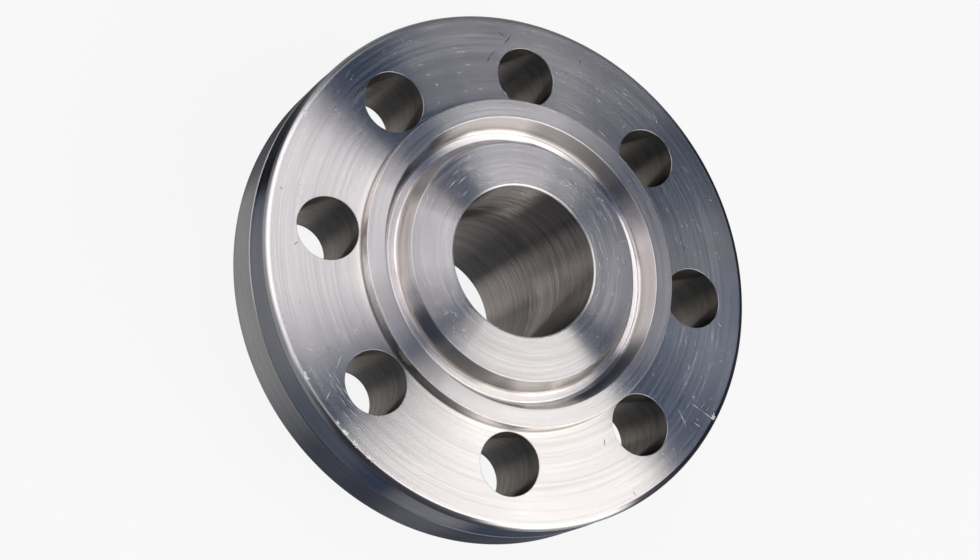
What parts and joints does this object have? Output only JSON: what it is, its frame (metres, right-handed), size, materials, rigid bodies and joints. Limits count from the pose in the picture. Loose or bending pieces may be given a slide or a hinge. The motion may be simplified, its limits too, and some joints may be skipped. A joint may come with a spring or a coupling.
{
  "type": "ring type joint flange",
  "caption": "Heavy round weld neck pipe flange with a raised gasket face, a ring groove, a ring of bolt holes, a bore and a tapered hub.",
  "frame": {"origin": "centre of the weld end, at the foot of the hub", "axes": "+Z along the flange axis, out of the gasket face; the bolt holes straddle X and Y"},
  "size_m": [0.2675, 0.2674, 0.1252],
  "materials": {
    "steel": "turned stainless steel with fine concentric tool marks"
  },
  "bodies": {
    "root": {"flange": "steel"}
  },
  "joints": []
}
